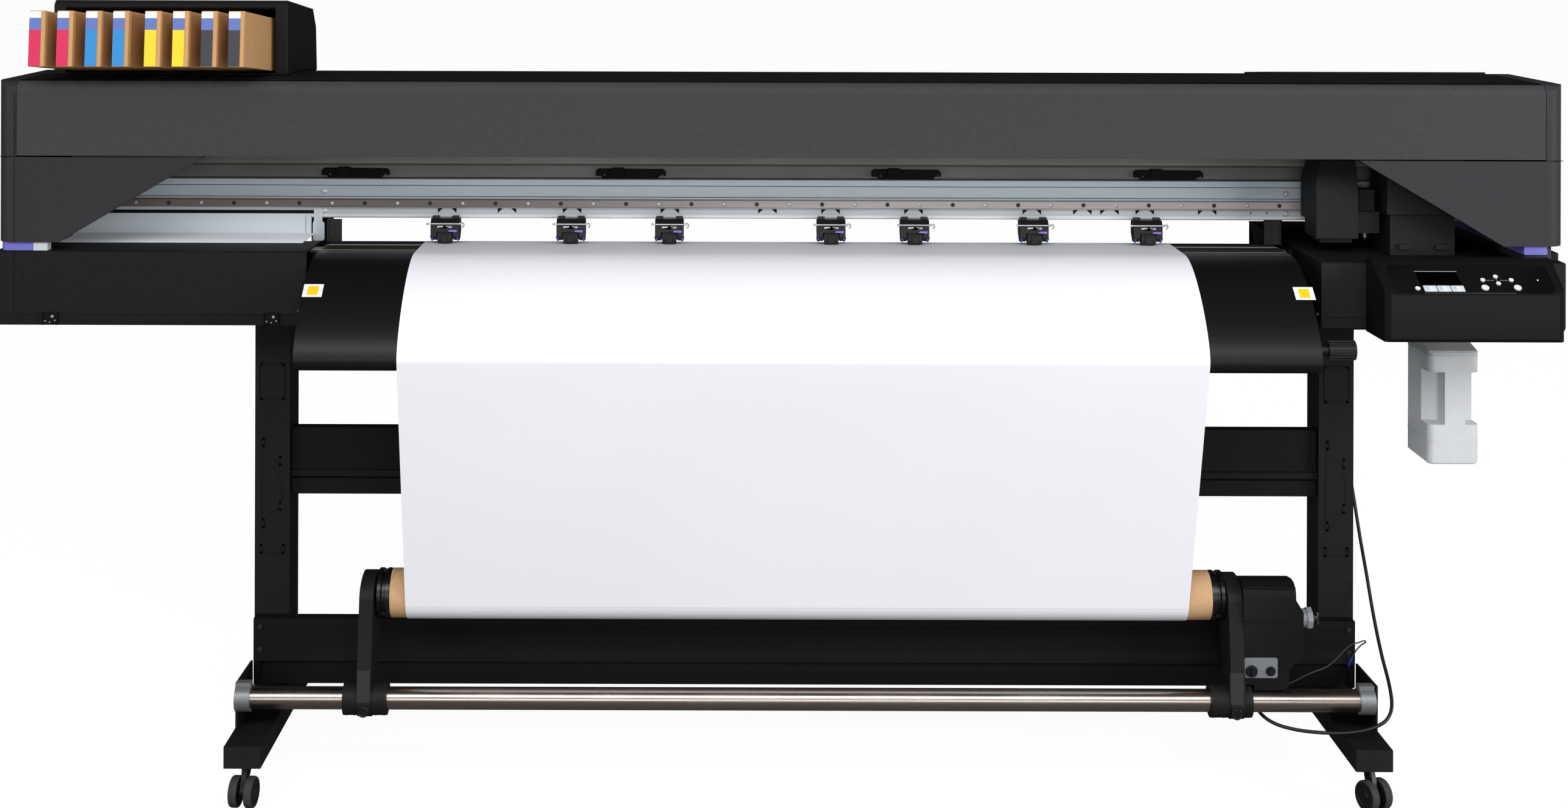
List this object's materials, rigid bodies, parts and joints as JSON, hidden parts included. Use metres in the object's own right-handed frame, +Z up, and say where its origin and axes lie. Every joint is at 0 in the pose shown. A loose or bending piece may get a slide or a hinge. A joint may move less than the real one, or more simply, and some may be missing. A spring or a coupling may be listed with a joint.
{
  "type": "printer cutter",
  "caption": "Wide-format roll-fed inkjet printer and vinyl cutter on a caster stand, with powered take-up, ink cartons and an operator panel.",
  "frame": {"origin": "on the floor, at the middle of the footprint's box", "axes": "+X along the machine's width to the operator's right, +Y to the rear, +Z up"},
  "size_m": [2.748, 0.6979, 1.364],
  "materials": {
    "stand_black": "fine textured powder coat",
    "caster_plastic": "semi-gloss",
    "caster_tread": "satin",
    "rail_tube": "drawn and polished",
    "cast_clamp": "as cast",
    "arm_plastic": "moulded",
    "hub_plastic": "moulded",
    "kraft_core": "spiral-wound cardboard",
    "torque_grey": "moulded",
    "switch_black": "satin",
    "cable_black": "satin",
    "wire_grey": "satin",
    "media_white": "satin vinyl film",
    "roll_white": "satin vinyl film",
    "apron_black": "satin",
    "platen_grey": "anodised",
    "knob_black": "moulded",
    "bar_aluminium": "anodised",
    "guide_steel": "ground",
    "pinch_black": "moulded",
    "pinch_rubber": "satin",
    "grit_steel": "grit blasted",
    "carriage_black": "fine grain",
    "cutter_black": "fine grain",
    "blade_metal": "turned",
    "station_black": "fine grain",
    "cover_charcoal": "fine grain",
    "cover_black": "fine grain",
    "panel_gloss": "satin film",
    "key_white": "moulded",
    "carton_magenta": "printed card",
    "carton_cyan": "printed card",
    "carton_yellow": "printed card",
    "carton_black": "printed card",
    "bottle_white": "translucent blow-moulded"
  },
  "bodies": {
    "machine": {"left_foot": "stand_black", "right_foot": "stand_black", "left_leg": "stand_black", "right_leg": "stand_black", "middle_beam": "stand_black", "lower_beam": "stand_black", "take_up_rail": "rail_tube", "rail_clamps": "cast_clamp", "right_arm": "arm_plastic", "motor_cover": "arm_plastic", "take_up_cable": "cable_black", "ground_wire": "wire_grey", "media_web": "media_white", "supply_brackets": "stand_black", "aprons": "apron_black", "chassis": "stand_black", "platen": "platen_grey", "y_bar": "bar_aluminium", "linear_rail": "guide_steel", "capping_station": "station_black", "top_cover": "cover_black", "left_side_cover": "cover_charcoal", "right_side_cover": "cover_charcoal", "left_base_cover": "cover_black", "right_base_cover": "cover_black", "panel_housing": "cover_black", "panel_plate": "panel_gloss", "ink_housing": "cover_black"},
    "caster_1": {"caster_fork_1": "caster_plastic"},
    "wheels_1": {"caster_wheels_1": "caster_tread"},
    "caster_2": {"caster_fork_2": "caster_plastic"},
    "wheels_2": {"caster_wheels_2": "caster_tread"},
    "caster_3": {"caster_fork_3": "caster_plastic"},
    "wheels_3": {"caster_wheels_3": "caster_tread"},
    "caster_4": {"caster_fork_4": "caster_plastic"},
    "wheels_4": {"caster_wheels_4": "caster_tread"},
    "core": {"take_up_core": "kraft_core", "right_hub": "hub_plastic"},
    "left_arm_body": {"left_arm": "arm_plastic"},
    "left_hub_body": {"left_hub": "hub_plastic"},
    "torque_nut": {"torque_knob": "torque_grey"},
    "toggle": {"direction_toggle": "switch_black"},
    "power_key": {"power_button": "switch_black"},
    "supply": {"supply_roll": "roll_white"},
    "apron_knob": {"hand_knob": "knob_black"},
    "pinch_frame": {"pinch_arms": "pinch_black"},
    "pinch_wheels": {"pinch_rollers": "pinch_rubber"},
    "grit": {"grit_roller": "grit_steel"},
    "head": {"print_carriage": "carriage_black", "cutter_head": "cutter_black"},
    "blade": {"blade_holder": "blade_metal"},
    "lid": {"front_cover": "cover_charcoal"},
    "function_pad": {"function_keys": "key_white"},
    "arrow_pad": {"arrow_keys": "key_white"},
    "select_pad": {"select_keys": "key_white"},
    "ink_magenta": {"cartons_magenta": "carton_magenta"},
    "ink_cyan": {"cartons_cyan": "carton_cyan"},
    "ink_yellow": {"cartons_yellow": "carton_yellow"},
    "ink_black": {"cartons_black": "carton_black"},
    "bottle": {"waste_bottle": "bottle_white"}
  },
  "joints": [
    {"name": "caster_swivel_1", "type": "hinge", "parent": "machine", "child": "caster_1", "pos_m": [-0.9125, -0.294, 0.07], "axis": [0, 0, 1], "continuous": true},
    {"name": "wheel_spin_1", "type": "hinge", "parent": "caster_1", "child": "wheels_1", "pos_m": [-0.91396, -0.30792, 0.026], "axis": [-0.9945, 0.1045, 0], "continuous": true},
    {"name": "caster_swivel_2", "type": "hinge", "parent": "machine", "child": "caster_2", "pos_m": [1.0045, -0.294, 0.07], "axis": [0, 0, 1], "continuous": true},
    {"name": "wheel_spin_2", "type": "hinge", "parent": "caster_2", "child": "wheels_2", "pos_m": [1.00974, -0.30698, 0.026], "axis": [-0.9272, -0.3746, 0], "continuous": true},
    {"name": "caster_swivel_3", "type": "hinge", "parent": "machine", "child": "caster_3", "pos_m": [-0.9125, 0.296, 0.07], "axis": [0, 0, 1], "continuous": true},
    {"name": "wheel_spin_3", "type": "hinge", "parent": "caster_3", "child": "wheels_3", "pos_m": [-0.91007, 0.30979, 0.026], "axis": [0.9848, -0.1736, 0], "continuous": true},
    {"name": "caster_swivel_4", "type": "hinge", "parent": "machine", "child": "caster_4", "pos_m": [1.0045, 0.296, 0.07], "axis": [0, 0, 1], "continuous": true},
    {"name": "wheel_spin_4", "type": "hinge", "parent": "caster_4", "child": "wheels_4", "pos_m": [1.00088, 0.30952, 0.026], "axis": [0.9659, 0.2588, 0], "continuous": true},
    {"name": "take_up_spin", "type": "hinge", "parent": "machine", "child": "core", "pos_m": [0, -0.2, 0.332], "axis": [1, 0, 0], "continuous": true},
    {"name": "left_arm_slide", "type": "slide", "parent": "machine", "child": "left_arm_body", "axis": [-1, 0, 0], "range_m": [0, 0.15]},
    {"name": "left_hub_spin", "type": "hinge", "parent": "left_arm_body", "child": "left_hub_body", "pos_m": [-0.69, -0.2, 0.332], "axis": [1, 0, 0], "continuous": true},
    {"name": "torque_turn", "type": "hinge", "parent": "machine", "child": "torque_nut", "pos_m": [0.91, -0.24, 0.305], "axis": [1, 0, 0], "range_deg": [0, 270]},
    {"name": "direction_turn", "type": "hinge", "parent": "machine", "child": "toggle", "pos_m": [0.812, -0.265, 0.2205], "axis": [0, 1, 0], "range_deg": [-30, 30]},
    {"name": "power_press", "type": "slide", "parent": "machine", "child": "power_key", "axis": [0, 1, 0], "range_m": [0, 0.0015], "stiffness_N_per_m": 300},
    {"name": "supply_spin", "type": "hinge", "parent": "machine", "child": "supply", "pos_m": [0, 0.25, 0.45], "axis": [1, 0, 0], "continuous": true},
    {"name": "apron_knob_turn", "type": "hinge", "parent": "machine", "child": "apron_knob", "pos_m": [0.95, -0.259, 0.7735], "axis": [1, 0, 0], "continuous": true},
    {"name": "pinch_lift", "type": "hinge", "parent": "machine", "child": "pinch_frame", "pos_m": [0, -0.017, 0.958], "axis": [-1, 0, 0], "range_deg": [0, 8]},
    {"name": "grit_spin", "type": "hinge", "parent": "machine", "child": "grit", "pos_m": [0, -0.038, 0.907], "axis": [1, 0, 0], "continuous": true},
    {"name": "pinch_spin", "type": "hinge", "parent": "pinch_frame", "child": "pinch_wheels", "pos_m": [0, -0.038, 0.9315], "axis": [1, 0, 0], "continuous": true},
    {"name": "head_run", "type": "slide", "parent": "machine", "child": "head", "axis": [-1, 0, 0], "range_m": [0, 1.86]},
    {"name": "blade_lower", "type": "slide", "parent": "head", "child": "blade", "axis": [0, 0, -1], "range_m": [0, 0.0155], "stiffness_N_per_m": 60, "springref_m": -0.03},
    {"name": "lid_open", "type": "hinge", "parent": "machine", "child": "lid", "pos_m": [0, -0.186, 1.208], "axis": [-1, 0, 0], "range_deg": [0, 80]},
    {"name": "function_press", "type": "slide", "parent": "machine", "child": "function_pad", "axis": [0, 0.5098, -0.8603], "range_m": [0, 0.0008], "stiffness_N_per_m": 400},
    {"name": "arrow_press", "type": "slide", "parent": "machine", "child": "arrow_pad", "axis": [0, 0.5098, -0.8603], "range_m": [0, 0.0008], "stiffness_N_per_m": 400},
    {"name": "select_press", "type": "slide", "parent": "machine", "child": "select_pad", "axis": [0, 0.5098, -0.8603], "range_m": [0, 0.0008], "stiffness_N_per_m": 400},
    {"name": "magenta_pull", "type": "slide", "parent": "machine", "child": "ink_magenta", "axis": [0, -0.9954, 0.0958], "range_m": [0, 0.16]},
    {"name": "cyan_pull", "type": "slide", "parent": "machine", "child": "ink_cyan", "axis": [0, -0.9954, 0.0958], "range_m": [0, 0.16]},
    {"name": "yellow_pull", "type": "slide", "parent": "machine", "child": "ink_yellow", "axis": [0, -0.9954, 0.0958], "range_m": [0, 0.16]},
    {"name": "black_pull", "type": "slide", "parent": "machine", "child": "ink_black", "axis": [0, -0.9954, 0.0958], "range_m": [0, 0.16]},
    {"name": "bottle_pull", "type": "slide", "parent": "machine", "child": "bottle", "axis": [0, -1, 0], "range_m": [0, 0.15]}
  ],
  "couplings": [
    {"joint": "pinch_spin", "follows": "grit_spin", "ratio": -1.0909},
    {"joint": "left_hub_spin", "follows": "take_up_spin", "ratio": 1}
  ]
}
